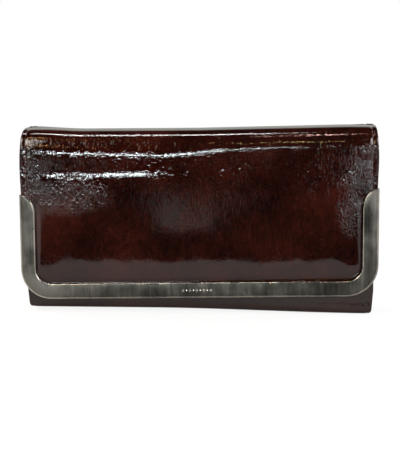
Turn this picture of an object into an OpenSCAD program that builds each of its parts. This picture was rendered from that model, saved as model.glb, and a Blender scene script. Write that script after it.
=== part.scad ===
// Long flap wallet: a patent leather body with a metal-framed flap, a magnetic snap,
// card tiers, two note compartments and a zipped coin pocket on folding side gussets.
// Millimetres. +X is to the right, +Y to the back, +Z up. The wallet stands on its base,
// with the origin under the middle of its closed outline.

/* [Overall] */
// Width over the metal frame
frame_w = 196; // [190:1:204]
// Height of the closed wallet
height = 99.5; // [96:0.5:104]
// Depth from the frame's face to the back
depth = 30; // [30:1:34]

/* [Leather] */
// Thickness of the patent leather
skin_t = 1.2; // [1:0.1:1.3]
// Thickness of the filler between leather and lining
filler_t = 0.7; // [0.5:0.1:0.8]
// Thickness of the lining
lining_t = 0.6; // [0.5:0.1:0.7]
// Width of the front and back panels
body_w = 191; // [188:1:193]
// Outer radius of the fold at the top of the back
back_fold_r = 6; // [5:0.5:8]
// Outer radius of the fold at the top of the flap
flap_fold_r = 10; // [8:0.5:11]
// Outer radius of the folds along the base
base_fold_r = 2.5; // [2:0.5:3.5]
// Height of the front panel
front_h = 86; // [80:1:88]

/* [Metal frame] */
// Width of the frame's band
band_w = 8.5; // [7:0.5:10]
// Height of the frame's lower edge above the base
frame_z = 6.8; // [5:0.2:9]
// Height of the tips of the frame's arms
arm_z = 65; // [55:1:70]
// Radius of the frame's outer corners
corner_r = 17; // [14:1:20]
// Thickness of the metal that wraps the flap's edge
metal_t = 0.7; // [0.6:0.1:1]
// Rivets in each arm
arm_rivets = 3; // [2:1:4]
// Rivets along the lower bar
bar_rivets = 5; // [3:2:9]

/* [Inside] */
// Number of card tiers, each two cards wide
tiers = 4; // [2:1:4]
// Step from one card tier to the next
tier_step = 11; // [9:1:13]
// Height of the coin pocket
coin_h = 73; // [65:1:75]
// Distance between the zip's teeth on one tape
tooth_pitch = 2.2; // [2:0.1:3]
// Length of the zip pull from its pivot
pull_len = 16; // [12:1:17]
// Radius of the magnetic snap
snap_r = 7; // [6:0.5:8]
// Height of the snap's centre
snap_z = 27; // [25:1:35]

/* [Hidden] */
$fn = 96;

patent = "#3a0f0c";
lining_brown = "#4a3328";
board_grey = "#8b7d6b";
thread_brown = "#5a2a20";
gunmetal = "#77786f";
nickel = "#a9a9a2";

// Layers of a laminate, as distances in from its outer face.
layer_skin = [0, skin_t];
layer_filler = [skin_t, skin_t + filler_t];
layer_lining = [skin_t + filler_t, skin_t + filler_t + lining_t];
laminate_t = skin_t + filler_t + lining_t;

// Planes of the outer faces, front to back.
back_y = depth / 2;
frame_y = -depth / 2;
frame_face_t = 1;
flap_y = frame_y + frame_face_t;
front_y = flap_y + 4;
back_inner_y = back_y - laminate_t;
front_inner_y = front_y + laminate_t;

// Centres of the folds, as [y, z].
back_fold = [back_y - back_fold_r, height - back_fold_r];
flap_fold = [flap_y + flap_fold_r, height - flap_fold_r];
base_back_fold = [back_y - base_fold_r, base_fold_r];
base_front_fold = [front_y + base_fold_r, base_fold_r];
fold_gap = 1; // degrees between the two bodies that meet at a fold

// Flap leather, inside the frame's lip.
lip_gap = 0.15;
flap_w = frame_w - 2 * metal_t - 2 * lip_gap;
flap_bottom_z = frame_z + metal_t + lip_gap;
taper_z = 12;
taper_x = 1.7;

// Card tiers, gussets and coin pocket.
tier_t = 0.6;
tier_w = 176;
tier_top_z = 82;
tier_bottom_z = 4;
tiers_y = back_inner_y - tiers * tier_t;
gusset_t = 0.8;
gusset_flange = 4;
gusset_fold = 6.6;
gusset_edge = 0.9;
inside_z = laminate_t;
coin_wall_t = 0.9;
note_gap = 4.6;
coin_rear_y = tiers_y - note_gap;
coin_front_y = front_inner_y + note_gap;
coin_y = (coin_rear_y + coin_front_y) / 2;
coin_w = body_w - 5;
coin_end_t = 1.5;
coin_z = inside_z + 0.7;
coin_half = (coin_rear_y - coin_front_y) / 2;

// Zip, open: its two rows of teeth stand apart above the walls of the coin pocket.
tape_t = 0.5;
tape_w = 176;
tape_rise = 3;
tape_edge = 3;
zip_len = 160;
mouth_w = 4.4;
tooth_w = 1;
tooth_grip = 0.5;
tooth_h = 1.8;
tooth_z = coin_h + tape_rise - tape_t / 2;
slider_x = -74;
slider_l = 9;
slider_w = 6.8;
slider_plate_t = 0.9;
slider_half_gap = 1.1;
slider_post_w = 3.4;
slider_post_l = 5;
slider_top_z = tooth_z + slider_half_gap + slider_plate_t;
bar_r = 0.5;
bar_gap = 0.25;
bar_z = slider_top_z + bar_gap + bar_r;
bridge_l = 6;
bridge_w = 1.6;
bridge_t = 0.8;
link_w = 4.6;
link_l = 6;
link_t = 1;
tab_w = 6;
tab_t = 1.6;

// Snap.
snap_disc_t = 0.7;
snap_gap = 0.05;
nipple_r = 2;
socket_hole_r = 2.3;
socket_r = snap_r + 0.25;
magnet_r = 6.4;
washer_r = 8;
shank_r = 1.5;

// Threads and rivets.
thread_w = 0.5;
thread_t = 0.4;
flap_seam_x = flap_w / 2 - 2.6;
body_seam_x = body_w / 2 - 2.6;
rivet_r = 1;
rivet_head_r = 1.7;
rivet_head_t = 0.4;
rivet_play = 0.05;
plate_t = 0.5;
plate_w = 6;
flap_inner_y = flap_y + laminate_t;

// ---- building blocks ----

// A (y, z) profile drawn out along X, centred on x.
module along_x(w, x = 0) {
    translate([x - w / 2, 0, 0]) rotate([90, 0, 90]) linear_extrude(w) children();
}

// An (x, z) outline drawn out along Y from y0 to y1.
module along_y(y0, y1) {
    translate([0, y1, 0]) rotate([90, 0, 0]) linear_extrude(y1 - y0) children();
}

module box(lo, hi) {
    translate(lo) cube(hi - lo);
}

// A cylinder along Y from y0 to y1.
module rod_y(x, z, r, y0, y1) {
    translate([x, y1, z]) rotate([90, 0, 0]) cylinder(r = r, h = y1 - y0);
}

// The part of a fold between two angles: a ring of that layer of the laminate.
module fold_arc(centre, r, layer, a0, a1) {
    reach = 3 * r;
    mid = (a0 + a1) / 2;
    translate(centre) intersection() {
        difference() {
            circle(r - layer[0]);
            circle(r - layer[1]);
        }
        polygon([
            [0, 0],
            reach * [cos(a0), sin(a0)],
            reach * [cos(mid), sin(mid)],
            reach * [cos(a1), sin(a1)]
        ]);
    }
}

module flat(y0, y1, z0, z1) {
    translate([y0, z0]) square([y1 - y0, z1 - z0]);
}

// Profiles of one layer of each laminate, as (y, z).
module back_profile(layer, z0 = base_fold_r) {
    flat(back_y - layer[1], back_y - layer[0], z0, back_fold[1]);
    fold_arc(back_fold, back_fold_r, layer, 0, 45 - fold_gap / 2);
}

module spine_profile(layer) {
    fold_arc(back_fold, back_fold_r, layer, 45 + fold_gap / 2, 90);
    flat(flap_fold[0], back_fold[0], height - layer[1], height - layer[0]);
    fold_arc(flap_fold, flap_fold_r, layer, 90, 135 - fold_gap / 2);
}

module flap_profile(layer, z0 = flap_bottom_z) {
    fold_arc(flap_fold, flap_fold_r, layer, 135 + fold_gap / 2, 180);
    flat(flap_y + layer[0], flap_y + layer[1], z0, flap_fold[1]);
}

module front_profile(layer, z1 = front_h) {
    flat(front_y + layer[0], front_y + layer[1], base_fold_r, z1);
}

// Outline of the front and back panels, which draw in towards the base, as (x, z).
module body_outline() {
    w = body_w / 2;
    polygon([
        [-w + taper_x, 0], [w - taper_x, 0], [w, taper_z], [w, height], [-w, height], [-w, taper_z]
    ]);
}

// A rectangle from the bottom edge z0 up to z1 with its two lower corners rounded.
module round_bottomed(w, z0, z1, r) {
    translate([-w / 2, z0 + r]) square([w, z1 - z0 - r]);
    translate([-w / 2 + r, z0]) square([w - 2 * r, r]);
    for (side = [-1, 1]) translate([side * (w / 2 - r), z0 + r]) circle(r);
}

module flap_outline() {
    round_bottomed(flap_w, flap_bottom_z, height, corner_r - metal_t - lip_gap);
}

// The U of the frame between two insets from its outer edge, with rounded-off arm tips.
module frame_outline(inset0, inset1) {
    w = frame_w / 2;
    intersection() {
        difference() {
            round_bottomed(frame_w - 2 * inset0, frame_z + inset0, arm_z, corner_r - inset0);
            round_bottomed(frame_w - 2 * inset1, frame_z + inset1, height, corner_r - inset1);
        }
        union() {
            translate([-w, 0]) square([frame_w, arm_z - band_w]);
            for (side = [-1, 1]) translate([side * w, arm_z - band_w]) circle(band_w);
        }
    }
}

// Rivet places, as [x, z].
arm_x = frame_w / 2 - band_w / 2;
bar_z_mid = frame_z + band_w / 2;
arm_low_z = frame_z + corner_r + 4;
arm_high_z = arm_z - band_w - 1;
bar_half = frame_w / 2 - corner_r - 8;
rivet_places = concat(
    [for (side = [-1, 1], i = [0 : arm_rivets - 1])
        [side * arm_x, arm_low_z + i * (arm_high_z - arm_low_z) / (arm_rivets - 1)]],
    [for (i = [0 : bar_rivets - 1])
        [-bar_half + i * 2 * bar_half / (bar_rivets - 1), bar_z_mid]]
);

module rivet_holes() {
    for (p = rivet_places) rod_y(p[0], p[1], rivet_r + rivet_play, flap_y - 1, front_y);
}

// ---- threads, each flush in its own groove ----

module flap_threads() {
    for (side = [-1, 1])
        along_x(thread_w, side * flap_seam_x) flap_profile([0, thread_t], arm_z - band_w);
}

module spine_threads() {
    for (side = [-1, 1]) along_x(thread_w, side * flap_seam_x) spine_profile([0, thread_t]);
}

module back_threads() {
    for (side = [-1, 1])
        along_x(thread_w, side * body_seam_x) back_profile([0, thread_t], taper_z);
    box([-body_seam_x, back_y - thread_t, taper_z - 4],
        [body_seam_x, back_y, taper_z - 4 + thread_w]);
}

module front_threads() {
    for (side = [-1, 1])
        box([side * body_seam_x - thread_w / 2, front_y, taper_z],
            [side * body_seam_x + thread_w / 2, front_y + thread_t, front_h - 3]);
    box([-body_seam_x, front_y, front_h - 3],
        [body_seam_x, front_y + thread_t, front_h - 3 + thread_w]);
}

module coin_threads() {
    z = coin_h - 2.5;
    w = coin_w / 2 - 4;
    box([-w, coin_rear_y - thread_t, z], [w, coin_rear_y, z + thread_w]);
    box([-w, coin_front_y, z], [w, coin_front_y + thread_t, z + thread_w]);
}

function tier_top(k) = tier_top_z - k * tier_step;

module card_threads() {
    for (k = [0 : tiers - 1]) {
        face = back_inner_y - (k + 1) * tier_t;
        low = k < tiers - 1 ? tier_top(k + 1) : tier_bottom_z + 2;
        box([-thread_w / 2, face, low], [thread_w / 2, face + thread_t / 2, tier_top(k) - 1]);
    }
}

// ---- back and base ----

module back_skin() {
    color(patent) difference() {
        intersection() {
            along_x(body_w) back_profile(layer_skin);
            along_y(-depth, depth) body_outline();
        }
        back_threads();
    }
}

module back_filler() {
    color(board_grey) intersection() {
        along_x(body_w - 1) back_profile(layer_filler);
        along_y(-depth, depth) body_outline();
    }
}

module back_lining() {
    color(lining_brown) intersection() {
        along_x(body_w) back_profile(layer_lining);
        along_y(-depth, depth) body_outline();
    }
}

module back_stitching() {
    color(thread_brown) back_threads();
}

module base_skin() {
    color(patent) along_x(body_w - 2 * taper_x) {
        fold_arc(base_back_fold, base_fold_r, layer_skin, 270, 360);
        flat(base_front_fold[0], base_back_fold[0], 0, skin_t);
        fold_arc(base_front_fold, base_fold_r, layer_skin, 225 + fold_gap / 2, 270);
    }
}

module base_board() {
    w = body_w / 2 - taper_x - 1;
    color(board_grey)
        box([-w, base_front_fold[0] + 0.5, skin_t], [w, back_inner_y, skin_t + filler_t]);
}

module base_lining() {
    w = body_w / 2 - taper_x - 1;
    z = skin_t + filler_t;
    color(lining_brown)
        box([-w, base_front_fold[0] + 0.5, z], [w, back_inner_y, z + lining_t]);
}

// ---- card tiers ----

module card_tier(k) {
    color(lining_brown) difference() {
        box([-tier_w / 2, back_inner_y - (k + 1) * tier_t, tier_bottom_z],
            [tier_w / 2, back_inner_y - k * tier_t, tier_top(k)]);
        card_threads();
    }
}

module card_stitching() {
    color(thread_brown) card_threads();
}

// ---- gussets: each a V of leather between two panels ----

function unit(v) = v / norm(v);
function normal(a, b) = let(d = unit(b - a)) [-d[1], d[0]];
function offset_point(p, i, h) =
    i == 0 ? p[0] + h * normal(p[0], p[1]) :
    i == len(p) - 1 ? p[i] + h * normal(p[i - 1], p[i]) :
    let(n1 = normal(p[i - 1], p[i]), n2 = normal(p[i], p[i + 1]))
    p[i] + h * (n1 + n2) / (1 + n1 * n2);

// A bent strip of thickness t along the points of p.
module ribbon(p, t) {
    last = len(p) - 1;
    polygon(concat(
        [for (i = [0 : last]) offset_point(p, i, t / 2)],
        [for (i = [last : -1 : 0]) offset_point(p, i, -t / 2)]
    ));
}

// The right-hand gusset between the faces at y0 (nearer the front) and y1.
module gusset(y0, y1, top_z) {
    edge_x = body_w / 2 - gusset_edge;
    flange_x = edge_x - gusset_flange;
    a = y1 - gusset_t / 2;
    b = y0 + gusset_t / 2;
    color(lining_brown) intersection() {
        translate([0, 0, inside_z]) linear_extrude(top_z - inside_z) ribbon([
            [flange_x, a], [edge_x, a], [edge_x - gusset_fold, (a + b) / 2],
            [edge_x - 1, b], [flange_x, b]
        ], gusset_t);
        along_y(-depth, depth) body_outline();
    }
}

module gusset_rear() {
    gusset(coin_rear_y, back_inner_y, tier_top_z);
}

module gusset_front() {
    gusset(front_inner_y, coin_front_y, tier_top_z - 2);
}

// ---- spine and flap ----

module spine_skin() {
    color(patent) difference() {
        along_x(flap_w) spine_profile(layer_skin);
        spine_threads();
    }
}

module spine_filler() {
    color(board_grey) along_x(flap_w - 1) spine_profile(layer_filler);
}

module spine_lining() {
    color(lining_brown) along_x(flap_w) spine_profile(layer_lining);
}

module spine_stitching() {
    color(thread_brown) spine_threads();
}

// One layer of the flap, cut to its round-cornered outline and drilled for the rivets.
module flap_layer(layer, inset) {
    difference() {
        intersection() {
            along_x(flap_w - 2 * inset) flap_profile(layer);
            along_y(-depth, depth) flap_outline();
        }
        rivet_holes();
    }
}

module flap_skin() {
    color(patent) difference() {
        flap_layer(layer_skin, 0);
        flap_threads();
    }
}

module flap_filler() {
    color(board_grey) difference() {
        flap_layer(layer_filler, 0.5);
        rod_y(0, snap_z, washer_r + 0.2, flap_y, front_y);
    }
}

module flap_lining() {
    color(lining_brown) difference() {
        flap_layer(layer_lining, 0);
        rod_y(0, snap_z, shank_r + 0.1, flap_y, front_y);
    }
}

module flap_stitching() {
    color(thread_brown) flap_threads();
}

// ---- metal frame ----

module flap_frame() {
    color(gunmetal) {
        along_y(frame_y, flap_y) frame_outline(0, band_w);
        along_y(flap_y, flap_inner_y) frame_outline(0, metal_t);
    }
}

module frame_back_plate() {
    inset = (band_w - plate_w) / 2;
    color(nickel) difference() {
        along_y(flap_inner_y, flap_inner_y + plate_t)
            frame_outline(inset + metal_t / 2, inset + metal_t / 2 + plate_w);
        rivet_holes();
    }
}

module frame_rivets() {
    head_y = flap_inner_y + plate_t;
    color(nickel) for (p = rivet_places) {
        rod_y(p[0], p[1], rivet_r, flap_y, head_y);
        rod_y(p[0], p[1], rivet_head_r, head_y, head_y + rivet_head_t);
    }
}

// ---- magnetic snap ----

stud_face_y = flap_inner_y + snap_disc_t;
cap_face_y = stud_face_y + snap_gap;

module snap_stud() {
    color(nickel) {
        rod_y(0, snap_z, snap_r, flap_inner_y, stud_face_y);
        rod_y(0, snap_z, nipple_r, stud_face_y, front_y - snap_gap);
        rod_y(0, snap_z, shank_r, flap_y + skin_t + filler_t, flap_inner_y);
    }
}

module snap_stud_washer() {
    color(nickel) rod_y(0, snap_z, washer_r, flap_y + skin_t, flap_y + skin_t + filler_t);
}

module snap_socket_cap() {
    color(nickel) difference() {
        rod_y(0, snap_z, socket_r, cap_face_y, front_y);
        rod_y(0, snap_z, socket_hole_r, frame_y, back_y);
        rod_y(0, snap_z, magnet_r + 0.1, cap_face_y + 0.3, back_y);
    }
}

module snap_magnet() {
    color("#3c3c3c") difference() {
        rod_y(0, snap_z, magnet_r, cap_face_y + 0.3, front_y + skin_t);
        rod_y(0, snap_z, socket_hole_r + 0.3, frame_y, back_y);
    }
}

module snap_socket_washer() {
    color(nickel) rod_y(0, snap_z, washer_r, front_y + skin_t, front_y + skin_t + filler_t);
}

// ---- front panel ----

module front_skin() {
    color(patent) difference() {
        intersection() {
            along_x(body_w) {
                front_profile(layer_skin);
                fold_arc(base_front_fold, base_fold_r, layer_skin, 180, 225 - fold_gap / 2);
            }
            along_y(-depth, depth) body_outline();
        }
        front_threads();
        rod_y(0, snap_z, magnet_r + 0.1, frame_y, front_y + skin_t);
    }
}

module front_filler() {
    color(board_grey) difference() {
        intersection() {
            along_x(body_w - 1) front_profile(layer_filler, front_h - 1);
            along_y(-depth, depth) body_outline();
        }
        rod_y(0, snap_z, washer_r + 0.2, frame_y, back_y);
    }
}

module front_lining() {
    color(lining_brown) intersection() {
        along_x(body_w) front_profile(layer_lining);
        along_y(-depth, depth) body_outline();
    }
}

module front_stitching() {
    color(thread_brown) front_threads();
}

// ---- coin pocket ----

module coin_wall_rear() {
    color(lining_brown) difference() {
        box([-coin_w / 2, coin_rear_y - coin_wall_t, coin_z], [coin_w / 2, coin_rear_y, coin_h]);
        coin_threads();
    }
}

module coin_wall_front() {
    color(lining_brown) difference() {
        box([-coin_w / 2, coin_front_y, coin_z], [coin_w / 2, coin_front_y + coin_wall_t, coin_h]);
        coin_threads();
    }
}

module coin_ends() {
    color(lining_brown) for (side = [-1, 1]) {
        x = side * (coin_w / 2 - coin_end_t / 2);
        box([x - coin_end_t / 2, coin_front_y + coin_wall_t, coin_z],
            [x + coin_end_t / 2, coin_rear_y - coin_wall_t, coin_h]);
    }
}

module coin_floor() {
    w = coin_w / 2 - coin_end_t;
    color(lining_brown)
        box([-w, coin_front_y + coin_wall_t, coin_z], [w, coin_rear_y - coin_wall_t, coin_z + 1]);
}

module coin_stitching() {
    color(thread_brown) coin_threads();
}

// ---- zip ----

// The +Y half of the tape, an L that rises off the wall and turns in towards the mouth.
module tape() {
    top = coin_h + tape_rise;
    translate([0, coin_y, 0]) along_x(tape_w) polygon([
        [coin_half - tape_t, coin_h], [coin_half, coin_h], [coin_half, top],
        [tape_edge, top], [tape_edge, top - tape_t], [coin_half - tape_t, top - tape_t]
    ]);
}

// One tooth on the +Y half, clipped over the edge of the tape.
module tooth() {
    tip = mouth_w / 2;
    heel = tape_edge + tooth_grip;
    half_h = tooth_h / 2;
    half_t = tape_t / 2;
    along_x(tooth_w) polygon([
        [tip, -half_h], [heel, -half_h], [heel, -half_t], [tape_edge, -half_t],
        [tape_edge, half_t], [heel, half_t], [heel, half_h], [tip, half_h]
    ]);
}

module teeth(shift) {
    last = floor(zip_len / 2 / tooth_pitch) - 1;
    for (i = [-last : last])
        translate([i * tooth_pitch + shift, coin_y, tooth_z]) tooth();
}

// Turns what is drawn for the +Y half of the zip over to its -Y half.
module front_half() {
    translate([0, 2 * coin_y, 0]) mirror([0, 1, 0]) children();
}

module zip_tape_rear() {
    color(lining_brown) tape();
}

module zip_tape_front() {
    color(lining_brown) front_half() tape();
}

module zip_teeth_rear() {
    color(nickel) teeth(0);
}

module zip_teeth_front() {
    color(nickel) front_half() teeth(tooth_pitch / 2);
}

// A bar across both rows at each end of the zip, resting on the tapes.
module zip_stops() {
    top = coin_h + tape_rise;
    w = coin_half - 0.2;
    color(nickel) for (side = [-1, 1])
        box([side * (zip_len / 2 + 1.4) - 0.7, coin_y - w, top],
            [side * (zip_len / 2 + 1.4) + 0.7, coin_y + w, top + 0.9]);
}

module zip_slider() {
    bridge_top = bar_z + bar_r + bar_gap;
    half_l = slider_post_l / 2;
    half_w = slider_post_w / 2;
    color(nickel) translate([slider_x, coin_y, 0]) {
        for (side = [-1, 1]) {
            z = tooth_z + side * (slider_half_gap + slider_plate_t / 2);
            box([-slider_l / 2, -slider_w / 2, z - slider_plate_t / 2],
                [slider_l / 2, slider_w / 2, z + slider_plate_t / 2]);
        }
        box([-half_l, -half_w, tooth_z - slider_half_gap], [half_l, half_w, tooth_z + slider_half_gap]);
        for (side = [-1, 1]) {
            x = side * (bridge_l - bridge_t) / 2;
            box([x - bridge_t / 2, -bridge_w / 2, slider_top_z], [x + bridge_t / 2, bridge_w / 2, bridge_top]);
        }
        box([-bridge_l / 2, -bridge_w / 2, bridge_top], [bridge_l / 2, bridge_w / 2, bridge_top + bridge_t]);
    }
}

module zip_pull_link() {
    inner_w = bridge_w + 0.6;
    wall = (link_w - inner_w) / 2;
    color(nickel) translate([slider_x, coin_y, bar_z]) {
        translate([0, link_w / 2, 0]) rotate([90, 0, 0]) cylinder(r = bar_r, h = link_w);
        for (side = [-1, 1]) {
            y = side * (link_w - wall) / 2;
            box([0, y - wall / 2, -link_t / 2], [link_l, y + wall / 2, link_t / 2]);
        }
        box([link_l - 1.4, -inner_w / 2, -link_t / 2], [link_l, inner_w / 2, link_t / 2]);
    }
}

module zip_pull_tab() {
    color(patent) translate([slider_x, coin_y, bar_z])
        box([link_l, -tab_w / 2, -tab_t / 2], [pull_len, tab_w / 2, tab_t / 2]);
}

back_skin();
back_filler();
back_lining();
back_stitching();
base_skin();
base_board();
base_lining();
card_tier(0);  // card_tier_1
card_tier(1);  // card_tier_2
card_tier(2);  // card_tier_3
card_tier(3);  // card_tier_4
card_stitching();
mirror([1, 0, 0]) gusset_rear();  // gusset_left_rear
gusset_rear();  // gusset_right_rear
mirror([1, 0, 0]) gusset_front();  // gusset_left_front
gusset_front();  // gusset_right_front
spine_skin();
spine_filler();
spine_lining();
spine_stitching();
flap_skin();
flap_filler();
flap_lining();
flap_stitching();
flap_frame();
frame_back_plate();
frame_rivets();
snap_stud();
snap_stud_washer();
front_skin();
front_filler();
front_lining();
front_stitching();
snap_socket_cap();
snap_magnet();
snap_socket_washer();
coin_wall_front();
coin_wall_rear();
coin_ends();
coin_floor();
coin_stitching();
zip_tape_front();
zip_tape_rear();
zip_teeth_front();
zip_teeth_rear();
zip_stops();
zip_slider();
zip_pull_link();
zip_pull_tab();
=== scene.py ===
import math

import bmesh
import bpy
import numpy as np
from mathutils import Matrix, Vector, noise

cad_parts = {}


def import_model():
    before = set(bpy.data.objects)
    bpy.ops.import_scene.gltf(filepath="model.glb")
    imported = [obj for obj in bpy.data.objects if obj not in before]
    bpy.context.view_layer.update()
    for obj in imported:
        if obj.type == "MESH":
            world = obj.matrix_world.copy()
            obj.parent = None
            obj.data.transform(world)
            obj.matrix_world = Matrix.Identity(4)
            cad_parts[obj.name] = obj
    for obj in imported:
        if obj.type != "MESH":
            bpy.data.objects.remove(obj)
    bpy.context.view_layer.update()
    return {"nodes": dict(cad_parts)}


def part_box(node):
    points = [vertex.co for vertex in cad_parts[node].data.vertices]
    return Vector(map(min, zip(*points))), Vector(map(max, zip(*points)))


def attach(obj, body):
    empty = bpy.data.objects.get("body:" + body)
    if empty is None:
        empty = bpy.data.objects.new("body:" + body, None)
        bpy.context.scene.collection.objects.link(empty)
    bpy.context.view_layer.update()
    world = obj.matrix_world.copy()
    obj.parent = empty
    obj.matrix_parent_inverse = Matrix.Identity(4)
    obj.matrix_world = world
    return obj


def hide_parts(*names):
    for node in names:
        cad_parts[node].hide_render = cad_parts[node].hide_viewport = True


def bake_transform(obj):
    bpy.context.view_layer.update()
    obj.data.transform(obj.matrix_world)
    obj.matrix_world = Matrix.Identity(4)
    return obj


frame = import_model()
MM = 0.001


def span(cad_node):
    """Lowest and highest corner of a CAD node, in millimetres."""
    lo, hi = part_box(cad_node)
    return np.array(lo) / MM, np.array(hi) / MM


# ---------- sizes, mm
HEIGHT = span("spine_skin")[1][2]
FRONT_FACE = span("flap_skin")[0][1]          # plane of the flap's leather
FRAME_FACE = span("flap_frame")[0][1]
FRAME_BACK = span("flap_frame")[1][1]
BACK_FACE = span("back_skin")[1][1]
PANEL_FACE = span("front_skin")[0][1]         # plane of the front panel's leather
PANEL_TOP = span("front_skin")[1][2]
FLAP_W = span("flap_skin")[1][0]              # the widths are half widths
FRAME_W = span("flap_frame")[1][0]
BODY_W = span("back_skin")[1][0]
FRAME_Z0 = span("flap_frame")[0][2]
ARM_Z = span("flap_frame")[1][2]
FLAP_Z0 = span("flap_skin")[0][2]
LAMINATE = 2.5                                # leather, filler and lining together
SKIN = 1.9                                    # leather and filler
LINING = LAMINATE - SKIN
BACK_R = 6.0
BASE_R = 2.5
CORNER_R = 17.0
BAND = 8.5
MID_SPINE = 2.5
SEAM_IN = 2.7                                 # from an edge to its seam
SEAM_SUNK = 0.10
STITCH_STEP = 2.9
TURNED_EDGE = 1.1                             # how far a lining stops short of its leather
SKEW = 0.0173
DROOP = 2.0
FLAP_SEAM = FLAP_W - SEAM_IN
BODY_SEAM = BODY_W - SEAM_IN
BASE_SEAM_Z = 8.3
PANEL_SEAM_Z = PANEL_TOP - 3
THREAD_IN = 0.27                              # from the body's faces in to its straight seams
REAR_FACE = BACK_FACE - LAMINATE
PANEL_BACK = PANEL_FACE + LAMINATE
COIN_REAR = span("coin_wall_rear")[1][1]
COIN_FRONT = span("coin_wall_front")[0][1]
COIN_Y = (COIN_REAR + COIN_FRONT) / 2


def m(*p):
    """A point in metres."""
    return tuple(k * MM for k in p)


ROLL_START, ROLL_END = m(0, 5.9, 91.4), m(0, -20.0, 83.5)
BACK_START, BACK_END = m(0, 13.64, 83.32), m(0, -1.16, 96.27)
BASE_START, BASE_END = m(0, PANEL_FACE + BASE_R, 0), m(0, PANEL_FACE, BASE_R)


# ---------- overall shape
def smooth(t):
    t = np.clip(t, 0.0, 1.0)
    return t * t * (3 - 2 * t)


def hump(x, centre, width):
    return np.exp(-((x - centre) / width) ** 2)


def skew(p):
    """The flap hangs a degree out of square: its lower part drops to the left."""
    q = np.array(p, float)
    q[..., 2] += SKEW * q[..., 0] * smooth((97.0 - q[..., 2]) / 22.0)
    return q


def bow(p):
    """The top roll is not quite straight: its ends are rounded off and stand a little proud."""
    q = np.array(p, float)
    x = q[..., 0]
    turn = np.clip((q[..., 2] - (HEIGHT - 7.5)) / 7.5, 0, 1)
    q[..., 0] = x * (1 - 0.018 * (1 - np.sqrt(1 - turn ** 2)))
    rise = 0.016 * np.maximum(x, 0) + 1.5 * smooth((-x - 62) / 34) + 0.15 * smooth((x - 80) / 15)
    q[..., 2] += rise * smooth((q[..., 2] - 62) / 34)
    return q


def hang(p):
    return bow(skew(p))


def sag(p):
    """The body's lower edge drops and swings out a little towards its right end."""
    q = np.array(p, float)
    share = smooth((q[..., 0] + 25) / 120)
    front = np.clip((4.0 - q[..., 1]) / 12.0, 0, 1)
    out = 0.5 * share * smooth((9 - q[..., 2]) / 9) * front
    q[..., 2] -= DROOP * share * smooth((30 - q[..., 2]) / 30)
    q[..., 1] -= out
    return q


def body_shape(p):
    return bow(sag(p))


# ---------- noise on a sheet
def cells(x, s, size, seed):
    """Points of a sheet in units of the noise's cell size, which is in millimetres."""
    return map(tuple, np.stack([x, s, np.zeros_like(x)], -1).reshape(-1, 3) * (1 / size) + seed)


def perlin(x, s, size, seed):
    return np.fromiter((noise.noise(v) for v in cells(x, s, size, seed)), float, x.size).reshape(x.shape)


def ridges(x, s, size, seed):
    """0 on the crease between two cells, rising to about 1 inside a cell."""
    near = (noise.voronoi(v)[0] for v in cells(x, s, size, seed))
    gap = np.fromiter((d[1] - d[0] for d in near), float, x.size)
    return np.clip(gap.reshape(x.shape) / 0.45, 0, 1)


# ---------- meshes
def set_flat(mesh, points):
    """Store where each point lies on the flat leather, which the leather's material reads."""
    layer = mesh.attributes.new("flat", "FLOAT_VECTOR", "POINT")
    layer.data.foreach_set("vector", points.astype(np.float32).ravel())


def make(name, verts, faces, material, flat=None, sharp=50.0):
    """A mesh object from points in millimetres."""
    mesh = bpy.data.meshes.new(name)
    mesh.from_pydata((np.asarray(verts, float) * MM).tolist(), [], faces)
    mesh.validate()
    if flat is not None:
        set_flat(mesh, np.asarray(flat, float) * MM)
    mesh.shade_smooth()
    mesh.set_sharp_from_angle(angle=math.radians(sharp))
    mesh.materials.append(material)
    obj = bpy.data.objects.new(name, mesh)
    bpy.context.collection.objects.link(obj)
    return obj


def outward(obj):
    """Turn the faces of a closed mesh outwards and drop its loose points."""
    bm = bmesh.new()
    bm.from_mesh(obj.data)
    bmesh.ops.delete(bm, geom=[v for v in bm.verts if not v.link_faces], context="VERTS")
    bmesh.ops.recalc_face_normals(bm, faces=bm.faces)
    bm.to_mesh(obj.data)
    bm.free()


def quads(idx, flip=False):
    a, b, c, d = idx[:-1, :-1], idx[1:, :-1], idx[1:, 1:], idx[:-1, 1:]
    q = np.stack([a, d, c, b] if flip else [a, b, c, d], -1).reshape(-1, 4)
    return [tuple(int(i) for i in f) for f in q]


def ring_faces(rings, n, base=0, closed=False, first_cap=True):
    """Faces round a row of rings with n points each, with both ends capped unless the row is closed."""
    faces = []
    for i in range(rings if closed else rings - 1):
        a, b = base + i * n, base + (i + 1) % rings * n
        faces += [(a + j, a + (j + 1) % n, b + (j + 1) % n, b + j) for j in range(n)]
    if not closed:
        last = base + (rings - 1) * n
        if first_cap:
            faces.append(tuple(range(base, base + n))[::-1])
        faces.append(tuple(range(last, last + n)))
    return faces


def edge_round(d, r):
    """Share of the full thickness at distance d in from an edge that is rounded with radius r."""
    t = 1 - np.clip(d / r, 0, 1)
    return np.sqrt(np.clip(1 - t * t, 0, 1))


FINE_STEP = 0.4
ROUND_STEPS = (0, 0.08, 0.3, 0.62, 1)         # where the points of a rounded edge lie, in radii


def near_edge(w, r, step, dense=()):
    """Positions from -w to w, close together at the rounded edges and in the stated bands."""
    half = [w - k * r for k in ROUND_STEPS + (1.5,)]
    x = half[-1]
    while x > step:
        x -= min(step, FINE_STEP) if any(a <= x <= b for a, b in dense) else step
        if x > step * 0.3:
            half.append(x)
    half = np.array(half)
    return np.concatenate([-half, [0.0], half[::-1]])


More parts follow.
